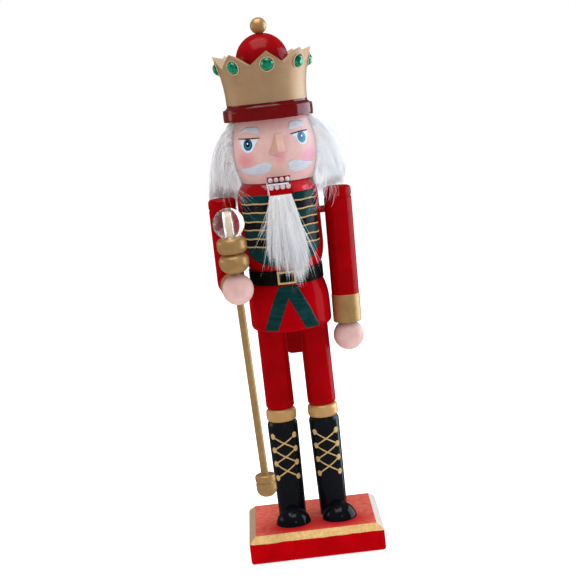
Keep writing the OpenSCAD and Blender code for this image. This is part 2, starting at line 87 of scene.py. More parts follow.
def add_camera():
    """A long lens at the height of the crown. It looks a little down, and is tilted so the figure leans."""
    data = bpy.data.cameras.new("camera")
    data.lens = LENS
    data.sensor_width = 36
    data.clip_start = 0.05
    data.clip_end = 50
    camera = show("camera", data)
    azimuth = radians(CAMERA_AZIMUTH)
    place = Vector((sin(azimuth), -cos(azimuth), 0)) * CAMERA_DISTANCE
    place.z = CAMERA_HEIGHT
    pitch = Matrix.Rotation(radians(90 - CAMERA_PITCH), 4, "X")
    roll = Matrix.Rotation(radians(CAMERA_ROLL), 4, "Z")
    camera.matrix_world = Matrix.Translation(place * MM) @ Matrix.Rotation(azimuth, 4, "Z") @ pitch @ roll
    bpy.context.scene.camera = camera


add_camera()


# ---- Materials ----


def add_node(tree, kind, links=(), **settings):
    """A shader node of that kind. links maps an input's name or number to a socket or a value."""
    node = tree.nodes.new("ShaderNode" + kind)
    for name, value in settings.items():
        setattr(node, name, value)
    for key, value in dict(links).items():
        if isinstance(value, bpy.types.NodeSocket):
            tree.links.new(value, node.inputs[key])
        else:
            node.inputs[key].default_value = value
    return node


class Look:
    """A node material round one Principled shader. Values that are the same all over are set on it."""

    def __init__(self, name, **values):
        self.material = bpy.data.materials.new(name)
        self.material.use_nodes = True
        self.tree = self.material.node_tree
        self.shader = self.tree.nodes["Principled BSDF"]
        for socket, value in values.items():
            self.shader.inputs[socket.replace("_", " ")].default_value = value

    def add(self, kind, links=(), **settings):
        return add_node(self.tree, kind, links, **settings)

    def place(self, stretch=(1, 1, 1)):
        """The surface point in millimetres, scaled along each axis."""
        coordinates = self.add("TexCoord").outputs["Object"]
        scale = [s / MM for s in stretch]
        return self.add("Mapping", {"Vector": coordinates, "Scale": scale}).outputs[0]

    def noise(self, size, detail=3.0, roughness=0.5, stretch=(1, 1, 1)):
        """Noise whose blots are about size millimetres across."""
        links = {"Vector": self.place(stretch), "Scale": 1 / size, "Detail": detail, "Roughness": roughness}
        return self.add("TexNoise", links).outputs[0]

    def math(self, operation, a, b=0.0):
        return self.add("Math", {0: a, 1: b}, operation=operation).outputs[0]

    def between(self, value, start, end):
        """0 where value is at start, 1 where it is at end."""
        links = {"Value": value, "From Min": start, "From Max": end}
        return self.add("MapRange", links, interpolation_type="SMOOTHSTEP").outputs[0]

    def range(self, value, low_value, high_value):
        """value from 0 to 1, turned into low_value to high_value."""
        return self.add("MapRange", {"Value": value, "To Min": low_value, "To Max": high_value}).outputs[0]

    def mix(self, amount, a, b):
        """Colour a where amount is 0, colour b where it is 1."""
        first, second = (c if isinstance(c, bpy.types.NodeSocket) else (*c, 1) for c in (a, b))
        return self.add("Mix", {0: amount, 6: first, 7: second}, data_type="RGBA").outputs[2]

    def near(self, centre, radius, stretch=(1, 1, 1)):
        """1 at centre, fading to 0 at radius millimetres from it."""
        away = self.add("VectorMath", {0: self.place(), 1: centre}, operation="SUBTRACT").outputs[0]
        scaled = self.add("VectorMath", {0: away, 1: stretch}, operation="MULTIPLY").outputs[0]
        distance = self.add("VectorMath", {0: scaled}, operation="LENGTH").outputs["Value"]
        return self.between(distance, radius, radius * 0.15)

    def position(self):
        """The surface point in millimetres, as three sockets."""
        return self.add("SeparateXYZ", {0: self.place()}).outputs

    def facing(self):
        """The direction that the surface faces, as three sockets."""
        normal = self.add("TexCoord").outputs["Normal"]
        return self.add("SeparateXYZ", {0: normal}).outputs

    def bump(self, height, depth):
        """Relief of that depth in millimetres."""
        links = {"Height": height, "Distance": depth * MM, "Strength": 1.0}
        self.give("Normal", self.add("Bump", links).outputs[0])

    def give(self, socket, value):
        self.tree.links.new(value, self.shader.inputs[socket])

    def rough(self, value, low_value, high_value):
        self.give("Roughness", self.range(value, low_value, high_value))

    def colour(self, amount, a, b):
        self.give("Base Color", self.mix(amount, a, b))

    def overlay(self, amount, over):
        """Another colour over the one there is, as far as amount is above 0."""
        self.colour(amount, self.shader.inputs["Base Color"].links[0].from_socket, over)


def lacquer(name, colour, wear_and_highlight, gloss=0.22, coat=0.16, grain=(1, 1, 0.12), depth=0.035, haze=0.08):
    """Sprayed lacquer on turned wood: the grain just shows through it, and the colour is a little uneven."""
    look = Look(name, Coat_Weight=coat, Coat_Roughness=haze, Specular_IOR_Level=0.0)
    streaks = look.noise(1.6, 5, 0.6, grain)
    clouds = look.noise(14, 2)
    tone = look.mix(look.between(clouds, 0.35, 0.7), colour, [c * 0.82 for c in colour])
    look.colour(look.range(look.between(streaks, 0.55, 0.8), 0, 0.35), tone, wear_and_highlight)
    look.rough(streaks, gloss * 0.75, gloss * 1.35)
    orange_peel = look.noise(2.4, 2)
    look.bump(look.math("ADD", streaks, look.math("MULTIPLY", orange_peel, 0.8)), depth)
    return look


def gold(name, colour, dark, metal=0.5, gloss=0.36):
    """Gold paint, brushed on while the piece turned: fine lines run round it."""
    look = Look(name, Metallic=metal, Specular_IOR_Level=0.5)
    turned = look.noise(0.9, 4, 0.6, (0.1, 0.1, 2.2))
    clouds = look.noise(6, 4, 0.6)
    tone = look.mix(look.range(look.between(clouds, 0.3, 0.75), 0.25, 1), dark, colour)
    look.colour(look.range(turned, 0.0, 0.6), [c * 0.8 for c in dark], tone)
    look.rough(clouds, gloss * 0.8, gloss * 1.3)
    look.bump(look.math("ADD", turned, look.math("MULTIPLY", clouds, 0.2)), 0.04)
    return look


def enamel(name, colour, other, size=3.0, gloss=0.3, coat=0.12, glow=0.0):
    """Brushed-on enamel, thick enough to show the brush. Where it is given a glow, the glow is painted light.
    """
    look = Look(name, Coat_Weight=coat, Coat_Roughness=0.1, Specular_IOR_Level=0.05,
                Emission_Color=(1, 0.93, 0.94, 1), Emission_Strength=glow)
    look.material.cycles.emission_sampling = "NONE"
    strokes = look.noise(size, 4, 0.6, (0.3, 0.3, 1.5))
    look.colour(look.between(strokes, 0.3, 0.75), colour, other)
    look.rough(strokes, gloss * 0.8, gloss * 1.3)
    look.bump(strokes, 0.03)
    return look


RED = (0.295, 0.0003, 0.002)
RED_WORN = (0.35, 0.004, 0.006)
DARK_RED = (0.12, 0.001, 0.002)
GOLD = (0.78, 0.49, 0.21)
GOLD_DARK = (0.46, 0.26, 0.09)
TAN_GOLD = (0.56, 0.36, 0.21)
TAN_GOLD_DARK = (0.44, 0.26, 0.13)
SKIN = (0.57, 0.33, 0.295)
SKIN_LIGHT = (0.64, 0.43, 0.41)


BASE_TOP = high("base_block").z
BEVEL_LOW = BASE_TOP - 4.2
FLAT = (0.93, 0.97)
FADED = ((0.58, 0.085, 0.06), (0.74, 0.17, 0.12))
FRONT_BEVEL = ((0.50, 0.31, 0.11), (0.68, 0.46, 0.20))
# The bevel's gold on the figure's left and right: painted light and shade from the window on the left.
LIT_LEFT_BEVEL = ((0.62, 0.50, 0.42), (0.76, 0.68, 0.62))
SHADED_RIGHT_BEVEL = ((0.42, 0.29, 0.17), (0.52, 0.38, 0.26))


def base_look():
    """Red lacquer, faded on top, and a deeper red round the shoes. The bevel's gold spills over its lower
    edge, and carries painted light: paler on the figure's left, where the window is, and darker on its right.
    """
    look = lacquer("base_paint", (0.43, 0.0004, 0.003), (0.47, 0.004, 0.007), 0.35, 0.06, (0.12, 1, 1))
    across, _, up = look.facing()
    faded = look.mix(look.between(look.noise(4, 6, 0.7), 0.3, 0.7), *FADED)
    for foot in ("right_shoe_toe", "left_shoe_toe"):
        toe = middle(foot)
        # A deeper red round each toe on the base's top.
        deeper_round_toe = look.near((toe.x, toe.y - 8, BASE_TOP), 27, (0.8, 1, 1))
        faded = look.mix(deeper_round_toe, faded, (0.50, 0.012, 0.014))
    look.overlay(look.between(up, *FLAT), faded)
    sloped = look.math("MULTIPLY", look.between(up, 0.35, 0.45), look.between(up, 0.93, 0.88))
    ragged = look.math("ADD", look.position()[2], look.math("MULTIPLY", look.noise(11, 2), 2.0))
    low_edge = look.between(ragged, BEVEL_LOW + 0.55, BEVEL_LOW + 0.7)
    spill = look.math("MULTIPLY", low_edge, look.between(up, 0.6, 0.5))
    gilded = look.math("MAXIMUM", sloped, spill)
    brushed = look.noise(2.5, 5, 0.65)
    gilt = look.mix(look.between(brushed, 0.3, 0.75), *FRONT_BEVEL)
    # Painted light and shade: paler gold on the bevel that faces the window, darker gold on the far side.
    gilt = look.mix(look.between(across, 0.3, 0.5), gilt, look.mix(brushed, *LIT_LEFT_BEVEL))
    gilt = look.mix(look.between(across, -0.3, -0.5), gilt, look.mix(brushed, *SHADED_RIGHT_BEVEL))
    look.overlay(gilded, gilt)
    look.give("Metallic", look.math("MULTIPLY", gilded, 0.2))
    return look


def crown_look():
    """Gold paint over turned wood, a greyer tan on the faces that look up, the cut tops of the points."""
    look = gold("crown_gold", TAN_GOLD, TAN_GOLD_DARK, 0.35, 0.42)
    look.overlay(look.between(look.facing()[2], 0.3, 0.6), (0.48, 0.35, 0.22))
    return look


def around(angle, radius, height, axis=0.0):
    """A point at that angle, radius and height round an upright axis at x = axis."""
    a = radians(angle)
    return (axis + sin(a) * radius, -cos(a) * radius, height)


def coat_look():
    """The coat's lacquer, with a painted highlight: a brighter red on the left of the collar, where the
    window's light catches it.
    """
    look = lacquer("coat_lacquer", RED, RED_WORN, coat=0.7)
    collar = around(44, high("torso").x - 3, high("torso").z - 3)
    # Painted highlight: the window's light on the collar, broken up by noise.
    painted_highlight = look.math("MULTIPLY", look.near(collar, 17), look.range(look.noise(2.5, 4, 0.6), 0.5, 1))
    look.overlay(painted_highlight, (0.62, 0.02, 0.035))
    return look


HEAD_X = middle("head").x
HEAD_BOTTOM = low("head").z
HEAD_TOP = high("head").z
HEAD_RADIUS = high("head").x - HEAD_X
CHEEKS = ((-47, 17, (0.60, 0.20, 0.23)), (56, 15.5, (0.62, 0.23, 0.36)))


def skin_look(name, with_face, darker=SKIN, paler=SKIN_LIGHT):
    """Satin flesh paint. The head's has rouged cheeks, and a flush under the nose and on the brow."""
    look = Look(name, Coat_Weight=0.1, Coat_Roughness=0.25, Specular_IOR_Level=0.2,
                Subsurface_Weight=0.06, Subsurface_Scale=0.003)
    clouds = look.noise(7, 4, 0.6)
    look.colour(look.between(clouds, 0.1, 0.95), darker, paler)
    if with_face:
        for angle, height, blush in CHEEKS:
            cheek = look.near(around(angle, HEAD_RADIUS, HEAD_BOTTOM + height, HEAD_X), 13, (1, 1, 1.35))
            look.overlay(look.math("MULTIPLY", cheek, 0.8), blush)
        under_nose = look.near(around(5, HEAD_RADIUS, HEAD_BOTTOM + 17, HEAD_X), 7)
        look.overlay(look.math("MULTIPLY", under_nose, 0.5), (0.66, 0.22, 0.24))
        brow = look.near(around(2, HEAD_RADIUS - 2, HEAD_TOP + 1, HEAD_X), 26, (0.6, 1, 2.2))
        look.overlay(look.math("MULTIPLY", brow, 0.4), (0.70, 0.27, 0.27))
    look.rough(clouds, 0.36, 0.5)
    look.bump(look.math("ADD", look.noise(1.2, 4, 0.6, (1, 1, 0.2)), clouds), 0.04)
    return look


def nose_look():
    """Flesh paint with painted shade: browner on the right side of the nose, away from the window, and a
    darker pink under its tip.
    """
    look = skin_look("nose_paint", True, (0.59, 0.34, 0.28), (0.66, 0.42, 0.36))
    across, _, up = look.facing()
    # Painted shade on the side that faces away from the window.
    look.overlay(look.between(across, -0.3, -0.6), (0.50, 0.28, 0.225))
    # Painted shade under the tip.
    look.overlay(look.between(up, -0.3, -0.75), (0.51, 0.235, 0.24))
    return look


def shaft_look():
    """Gold paint, pale on the end inside the clear ball."""
    look = gold("shaft_gold", GOLD, GOLD_DARK)
    start = low("sceptre_ball").z
    look.overlay(look.between(look.position()[2], start - 1, start + 1), (0.68, 0.54, 0.42))
    return look


def wood_look():
    look = Look("bare_wood", Specular_IOR_Level=0.3)
    rings = look.noise(1.1, 5, 0.6, (1, 1, 0.08))
    look.colour(look.between(rings, 0.35, 0.7), (0.62, 0.42, 0.22), (0.42, 0.25, 0.11))
    look.rough(rings, 0.5, 0.75)
    look.bump(rings, 0.05)
    return look


def steel_look():
    look = Look("steel", Metallic=1.0)
    turned = look.noise(0.4, 3, 0.5, (3, 1, 1))
    look.colour(turned, (0.45, 0.45, 0.46), (0.62, 0.62, 0.63))
    look.rough(turned, 0.25, 0.4)
    return look


def belt_look():
    """Black paint with a fine leathery surface."""
    look = Look("belt_black", Coat_Weight=0.03, Coat_Roughness=0.12, Specular_IOR_Level=0.02)
    hide = look.add("TexVoronoi", {"Vector": look.place(), "Scale": 1.1}, feature="SMOOTH_F1").outputs[0]
    look.colour(look.noise(5), (0.001, 0.001, 0.001), (0.006, 0.006, 0.006))
    look.rough(look.noise(3), 0.25, 0.4)
    look.bump(hide, 0.05)
    return look


def fur_look(name, shadow, light, glow):
    """White fur. Every strand has its own shade, with cream in places. The glow stands in for the light
    that passes from strand to strand, and is painted light from the window too: brighter and bluer on the
    figure's left."""
    look = Look(name, Roughness=0.6, Specular_IOR_Level=0.2, Sheen_Weight=0.6, Sheen_Roughness=0.45,
                Emission_Strength=glow)
    strand = look.add("NewGeometry").outputs["Random Per Island"]
    look.colour(strand, shadow, light)
    look.overlay(look.math("MULTIPLY", look.between(look.noise(16, 2), 0.55, 0.8), 0.3), (0.86, 0.80, 0.70))
    # Painted light: the window on the figure's left makes the glow brighter and bluer there.
    window_lit_side = look.between(look.position()[0], -25, 25)
    look.give("Emission Color", look.mix(window_lit_side, (0.4, 0.37, 0.37), (0.86, 0.94, 1)))
    look.bump(look.noise(0.5, 3, 0.5, (1, 1, 0.06)), 0.2)
    look.material.cycles.emission_sampling = "NONE"
    return look


def gem_look():
    """Emerald glass with a foil back. Every facet has its own depth of green."""
    look = Look("emerald", Roughness=0.06, Specular_IOR_Level=0.5, Coat_Weight=0.5, Coat_Roughness=0.02,
                Metallic=0.3)
    normal = look.add("TexCoord").outputs["Normal"]
    facet = look.add("VectorMath", {0: normal, "Scale": 4.0}, operation="SCALE").outputs[0]
    step = look.add("VectorMath", {0: facet}, operation="FLOOR").outputs[0]
    chance = look.add("TexWhiteNoise", {"Vector": step}).outputs["Value"]
    look.colour(chance, (0.0, 0.045, 0.026), (0.002, 0.34, 0.17))
    return look


def glass_look():
    look = Look("clear_glass", Transmission_Weight=1.0, IOR=1.49, Roughness=0.0)
    look.colour(look.noise(8), (0.96, 0.98, 0.99), (1.0, 1.0, 1.0))
    look.bump(look.noise(9, 2), 0.04)
    return look


looks = {
    "red": lacquer("red_lacquer", RED, RED_WORN),
    "coat_red": coat_look(),
    "skirt": lacquer("skirt_lacquer", (0.33, 0.0004, 0.003), RED_WORN, coat=0.08),
    "dome": lacquer("dome_lacquer", (0.28, 0.001, 0.003), (0.36, 0.014, 0.012), coat=0.22, haze=0.2),
    "dark_red": lacquer("dark_red_lacquer", DARK_RED, (0.24, 0.008, 0.01), 0.2, 0.7),
    "toe": lacquer("toe_lacquer", (0.004, 0.005, 0.008), (0.007, 0.009, 0.012), 0.2, 0.3,
                   depth=0.01, haze=0.1),
    "black": lacquer("black_lacquer", (0.005, 0.006, 0.008), (0.009, 0.011, 0.014), 0.14, 0.5, haze=0.13),
    "gold": gold("gold_paint", GOLD, GOLD_DARK),
    "band": gold("band_gold", (0.86, 0.53, 0.22), (0.66, 0.37, 0.14), 0.35, 0.34),
    "shaft": shaft_look(),
    "crown": crown_look(),
    "base": base_look(),
    "face": skin_look("face_paint", True),
    "nose": nose_look(),
    "hand": skin_look("hand_paint", False),
    "wood": wood_look(),
    "steel": steel_look(),
    "belt": belt_look(),
    "fur": fur_look("white_fur", (0.79, 0.80, 0.83), (0.95, 0.96, 0.98), 0.2),
    "down": fur_look("white_down", (0.86, 0.87, 0.90), (0.93, 0.94, 0.96), 0.2),
    "beard": fur_look("beard_fur", (0.55, 0.55, 0.60), (1.0, 1.0, 1.0), 0.09),
    "gem": gem_look(),
    "glass": glass_look(),
    "green": enamel("green_enamel", (0.001, 0.022, 0.021), (0.004, 0.043, 0.043)),
    "black_enamel": enamel("black_enamel", (0.002, 0.003, 0.005), (0.007, 0.007, 0.009)),
    "seat": enamel("seat_gold", (0.56, 0.41, 0.28), (0.44, 0.30, 0.18), 1.2, 0.4),
    "line": enamel("gold_line", (0.56, 0.38, 0.17), (0.42, 0.27, 0.11), 1.2, 0.4, 0.1),
    "white": enamel("white_enamel", (0.55, 0.60, 0.66), (0.64, 0.66, 0.73), 2.0),
    "pale": enamel("pale_enamel", (0.42, 0.45, 0.51), (0.54, 0.53, 0.58), 2.0),
    "tooth": enamel("tooth_enamel", (0.62, 0.56, 0.58), (0.78, 0.70, 0.72), 1.0),
    # Painted light: the upper teeth are a lighter enamel that glows a little, against the shade they sit in
    # under the head.
    "tooth_painted_light": enamel("tooth_painted_light_enamel", (0.72, 0.66, 0.68), (0.85, 0.76, 0.79), 1.0, glow=0.13),
    "low_tooth": enamel("lower_tooth_enamel", (0.48, 0.38, 0.42), (0.64, 0.53, 0.58), 1.0),
    "tooth_rim": enamel("tooth_rim_enamel", (0.36, 0.26, 0.29), (0.44, 0.30, 0.33), 1.0),
    "iris": enamel("blue_enamel", (0.002, 0.045, 0.12), (0.005, 0.075, 0.17), 1.0, 0.2, 0.1),
    # Painted light: the left eye's iris, ring and pupil are paler copies, for the window's glare on that eye.
    "left_iris_lit": enamel("left_iris_lit_enamel", (0.07, 0.22, 0.33), (0.12, 0.28, 0.40), 1.0, 0.2),
    "iris_light": enamel("pale_blue_enamel", (0.02, 0.12, 0.21), (0.035, 0.17, 0.28), 1.0, 0.2, 0.1),
    "left_iris_ring_lit": enamel("left_iris_ring_lit_enamel", (0.05, 0.18, 0.30), (0.09, 0.26, 0.40), 1.0, 0.2),
    "glint": enamel("glint_enamel", (0.80, 0.82, 0.85), (0.9, 0.9, 0.9), 1.0),
    "pupil": enamel("ink_enamel", (0.002, 0.004, 0.010), (0.004, 0.007, 0.014), 1.0, 0.2, 0.1),
    # Painted light: the left pupil is a paler copy, for the window's glare.
    "left_pupil_lit": enamel("left_pupil_lit_enamel", (0.055, 0.115, 0.26), (0.085, 0.16, 0.33), 1.0, 0.2),
    "lid": enamel("lid_enamel", (0.055, 0.012, 0.014), (0.09, 0.022, 0.02), 1.0),
}


def both(*names):
    """The left and the right node of each name."""
    return [side + name for name in names for side in ("left_", "right_")]


NODE_LOOKS = {
    "coat_red": ["torso"],
    "skirt": ["coat_skirt"],
    "red": ["jaw_block", "jaw_lever_tail", "left_sleeve", "right_upper_sleeve", "right_forearm",
            *both("trouser_leg", "shoulder_dowel")],
    "dome": ["crown_dome"],
    "dark_red": ["hat_brim"],
    "base": ["base_block"],
    "black": both("boot"),
    "toe": both("shoe_toe"),
    "band": both("knee_band"),
    "gold": ["finial_ball", "sceptre_knob_lower", "sceptre_knob_upper", "sceptre_foot", *both("cuff")],
    "shaft": ["sceptre_shaft"],
    "crown": ["crown"],
    "face": ["head"],
    "nose": ["nose"],
    "hand": both("hand"),
    "wood": ["waist_dowel", "head_dowels", "hat_dowel", *both("leg_dowel", "wrist_dowel")],
    "steel": ["jaw_pin"],
    "belt": ["belt"],
    "fur": ["hair"],
    "beard": ["beard"],
    "gem": ["crown_gems"],
    "glass": ["sceptre_ball"],
}
for look_name, names in NODE_LOOKS.items():
    for node_name in names:
        slots = NODES[node_name].data.materials
        slots.clear()
        slots.append(looks[look_name].material)


# ---- Painted shapes ----
#
# A painted shape is an outline on a flat sheet that is laid on a CAD node: u runs to the figure's
# left, and v is the height in the frame.


CURVE_STEPS = [i / 6 for i in range(6)]


def oval(u, v, half_width, half_height, points=28):
    turns = [2 * pi * i / points for i in range(points)]
    return [(u + half_width * cos(t), v + half_height * sin(t)) for t in turns]


def block(u0, v0, u1, v1):
    return [(u0, v0), (u1, v0), (u1, v1), (u0, v1)]


def curve(points, closed=False):
    """A smooth line through the points."""
    p = [Vector(q) for q in points]
    p = [p[-1], *p, p[0], p[1]] if closed else [2 * p[0] - p[1], *p, 2 * p[-1] - p[-2]]
    line = []
    for a, b, c, d in zip(p, p[1:], p[2:], p[3:]):
        for t in CURVE_STEPS:
            q = 2 * b + (c - a) * t + (2 * a - 5 * b + 4 * c - d) * t**2 + (3 * b - a - 3 * c + d) * t**3
            line.append(tuple(q / 2))
    return line if closed else [*line, tuple(p[-2])]


def stroke(points, width, taper=1.0):
    """The outline of a brush stroke along the points. taper is its width at the ends over its width."""
    line = [Vector(q) for q in curve(points)]
    left, right = [], []
    for i, q in enumerate(line):
        along = (line[min(i + 1, len(line) - 1)] - line[max(i - 1, 0)]).normalized()
        out = Vector((-along.y, along.x))
        half = width / 2 * (taper + (1 - taper) * sin(pi * i / (len(line) - 1)))
        left.append(tuple(q + out * half))
        right.append(tuple(q - out * half))
    return left + right[::-1]


def inside(points, outline):
    """Which of the points are inside the outline."""
    x, y = points[:, 0], points[:, 1]
    found = np.zeros(len(points), bool)
    for (x0, y0), (x1, y1) in zip(outline, outline[1:] + outline[:1]):
        if y0 != y1:
            found ^= ((y0 > y) != (y1 > y)) & (x < (x1 - x0) * (y - y0) / (y1 - y0) + x0)
    return found


def fill(outlines, holes, grain):
    """Triangles that fill the outlines but not the holes, with edges no longer than about grain."""
    points, edges = [], []
    for outline in [*outlines, *holes]:
        first = len(points)
        for (x0, y0), (x1, y1) in zip(outline, outline[1:] + outline[:1]):
            pieces = max(1, ceil(hypot(x1 - x0, y1 - y0) / grain))
            points += [(x0 + (x1 - x0) * i / pieces, y0 + (y1 - y0) * i / pieces) for i in range(pieces)]
        count = len(points) - first
        edges += [(first + i, first + (i + 1) % count) for i in range(count)]
    edge_points = np.array(points)
    (left, bottom), (right, top) = edge_points.min(0), edge_points.max(0)
    row = grain * 0.87
    for j in range(int((top - bottom) / row) + 1):
        for i in range(int((right - left) / grain) + 1):
            q = (left + (i + j % 2 / 2) * grain, bottom + j * row)
            if np.hypot(*(edge_points - q).T).min() > grain * 0.5:
                points.append(q)
    flat, _, triangles, *_ = delaunay_2d_cdt([Vector(q) for q in points], edges, [], 0, 1e-5)
    flat = np.array([tuple(q) for q in flat])
    triangles = np.array(triangles)
    centres = flat[triangles].mean(1)
    keep = np.any([inside(centres, o) for o in outlines], axis=0)
    for hole in holes:
        keep &= ~inside(centres, hole)
    return flat, triangles[keep]


trees = {}


def tree_of(node):
    if node not in trees:
        mesh = NODES[node].data
        faces = [tuple(p.vertices) for p in mesh.polygons]
        trees[node] = BVHTree.FromPolygons([v.co.copy() for v in mesh.vertices], faces)
    return trees[node]


FAR = 90


def round_wrap(axis, radius, turn=0.0):
    """Lays a sheet round an upright axis. u is the way round at that radius."""

    def look_at(u, v):
        a = u / radius + radians(turn)
        out = Vector((sin(a), -cos(a), 0))
        return Vector((axis[0], axis[1], v)) + out * FAR, out

    return look_at


def front_wrap(u, v):
    """Lays a sheet on a surface as the front view sees it."""
    return Vector((u, -FAR, v)), Vector((0, -1, 0))


def new_mesh(name, points, faces, look, smooth=False):
    """An object from points in millimetres. smooth is one value for all faces, or one for each."""
    mesh = bpy.data.meshes.new(name)
    mesh.from_pydata([Vector(p) * MM for p in points], [], faces)
    mesh.materials.append(looks[look].material)
    mesh.polygons.foreach_set("use_smooth", np.broadcast_to(smooth, len(faces)))
    mesh.update()
    return show(name, mesh)


def join_rings(firsts, count):
    """Faces that join each ring of count points to the next, from the numbers of their first points."""
    return [(a + k, a + (k + 1) % count, b + (k + 1) % count, b + k)
            for a, b in zip(firsts, firsts[1:]) for k in range(count)]


PAINT_SUNK = 0.05


def paint(name, look, node, wrap, outlines, holes=(), lift=0.12, grain=1.3, body="figure"):
    """A layer of paint on a CAD node, lift millimetres thick, closed at its edges and underneath."""
    flat, triangles = fill(outlines, list(holes), grain)
    used = sorted(set(triangles.ravel().tolist()))
    number = {old: new for new, old in enumerate(used)}
    triangles = [[number[i] for i in t] for t in triangles.tolist()]
    top, bottom = [], []
    for u, v in flat[used]:
        start, out = wrap(u, v)
        found = tree_of(node).ray_cast(start * MM, -out)[0]
        if found is None:
            found = tree_of(node).find_nearest((start - out * FAR) * MM)[0]
        top.append(found / MM + out * lift)
        bottom.append(found / MM - out * PAINT_SUNK)
    edges = dict.fromkeys(pair for a, b, c in triangles for pair in ((a, b), (b, c), (c, a)))
    rim = [(a, b) for a, b in edges if (b, a) not in edges]
    count = len(top)
    walls = [(b, a, a + count, b + count) for a, b in rim]
    under = [(c + count, b + count, a + count) for a, b, c in triangles]
    smooth = [True] * len(triangles) + [False] * len(walls) + [True] * len(under)
    piece = new_mesh(name, top + bottom, triangles + walls + under, look, smooth)
    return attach(piece, body)


# ---- Face ----


LID_WIDTH = 0.8
IRIS_RADIUS = 4.0


def face_line(points):
    """Places on the face's sheet. Each is an angle round the head and a height above the chin."""
    return [(radians(angle) * HEAD_RADIUS, HEAD_BOTTOM + height) for angle, height in points]


def face_shape(*points):
    """A smooth closed outline on the face's sheet."""
    return curve(face_line(points), closed=True)


def paint_face():
    wrap = round_wrap((HEAD_X, 0), HEAD_RADIUS)

    def on_head(name, look, outlines, lift):
        paint(name, look, "head", wrap, outlines, lift=lift, grain=0.9)

    right_eye, left_eye = eyes = face_line([(-39.6, 27.9), (42.2, 29.3)])
    right_white = face_shape(
        (-58, 31.8), (-54, 28.2), (-49.5, 24.7), (-42.4, 22.4), (-35.1, 22.9), (-29.8, 25.4),
        (-25.9, 28.9), (-22.5, 31.6), (-38, 31.9))
    left_white = face_shape(
        (26, 31.9), (31, 29.8), (34, 26.6), (39.4, 24.2), (46.4, 24.4), (51.9, 27.4), (56.6, 31.1),
        (56.6, 33.1), (40, 33))
    right_brow = face_shape(
        (-60.8, 35.5), (-53.5, 38.2), (-45.8, 39.7), (-33.5, 39.9), (-23, 39.2), (-21.1, 35.2),
        (-29.3, 35.7), (-37.9, 36.6), (-48.8, 36.9))
    left_brow = face_shape(
        (23.3, 36), (24.2, 38.9), (29, 40.7), (38.6, 41.2), (51.7, 40.2), (57.5, 38.2), (49.9, 37.1),
        (39.6, 36.4), (30.9, 35.6))
    right_moustache = face_shape(
        (-69.4, 10.9), (-51.8, 11.6), (-38.7, 12.3), (-27.4, 14.1), (-19, 15), (-11.5, 14.7), (-7.4, 12.3),
        (-11.4, 8.7), (-19.3, 7.2), (-31.2, 6.6), (-42.8, 6.7), (-55.6, 7.9))
    left_moustache = face_shape(
        (15.4, 11.6), (17.8, 13.9), (23.3, 14.8), (31.1, 14.3), (40.5, 12.8), (52.1, 12), (65, 11.3),
        (60.1, 9.4), (50.9, 7.8), (41.3, 6.5), (32.9, 6), (25.1, 6.1), (19.3, 7.6))
    lid_lines = ([(-59.8, 32.3), (-37.6, 32), (-20.2, 32)], [(24.3, 32.3), (38.9, 33.2), (57.3, 33.6)])
    lids = [stroke(face_line(line), LID_WIDTH, 0.7) for line in lid_lines]
    on_head("eye_whites", "white", [right_white, left_white], 0.10)
    on_head("right_iris", "iris", [oval(*right_eye, IRIS_RADIUS, IRIS_RADIUS)], 0.15)
    # The left eye takes the paler enamels: painted light from the window's glare.
    on_head("left_iris", "left_iris_lit", [oval(*left_eye, IRIS_RADIUS, IRIS_RADIUS)], 0.15)
    on_head("right_iris_ring", "iris_light", [oval(*right_eye, 2.9, 3.1)], 0.18)
    on_head("left_iris_ring", "left_iris_ring_lit", [oval(*left_eye, 3.0, 3.2)], 0.18)
    for name, look, (u, v) in (("right_pupil", "pupil", right_eye), ("left_pupil", "left_pupil_lit", left_eye)):
        on_head(name, look, [oval(u, v + 0.7, 2.0, 2.3)], 0.21)
    on_head("eye_glints", "glint", [oval(u, v + 0.8, 0.65, 0.7, 14) for u, v in eyes], 0.26)
    on_head("eyelids", "lid", lids, 0.24)
    on_head("eyebrows", "pale", [right_brow, left_brow], 0.14)
    on_head("moustache", "pale", [right_moustache, left_moustache], 0.16)


# ---- Mouth ----

JAW_TOP = high("jaw_block").z
JAW_X = middle("jaw_block").x
JAW_HALF = high("jaw_block").x - JAW_X
JAW_FRONT = low("jaw_block").y
TOOTH_PITCH = 3.95
TOOTH_WIDTH = 2.9
# How much larger than a tooth the line round it is
TOOTH_EDGE = 1.2
# How tall the rounding of a tooth's biting edge is
TOOTH_ROUND = 0.9
# How far the paint on the jaw stands over its front, and the radius of its edge
BITE_OVER = 0.1
BITE_ROUND = 0.35


def tooth(u, root, tip):
    """A tooth with a round root end and a rounded biting edge at tip."""
    half = TOOTH_WIDTH / 2
    up = 1 if root > tip else -1
    turns = [pi * i / 8 for i in range(9)]
    root_end = [(u + half * cos(t), root - up * half * (1 - sin(t))) for t in turns]
    tip_end = [(u - half * cos(t), tip + up * TOOTH_ROUND * (1 - sin(t))) for t in turns]
    return root_end + tip_end


def outlined(teeth):
    """The same teeth, a little larger all round, for the line round them."""
    grown = []
    for outline in teeth:
        centre = sum((Vector(p) for p in outline), Vector((0, 0))) / len(outline)
        grown.append([tuple(centre + (Vector(p) - centre) * TOOTH_EDGE) for p in outline])
    return grown


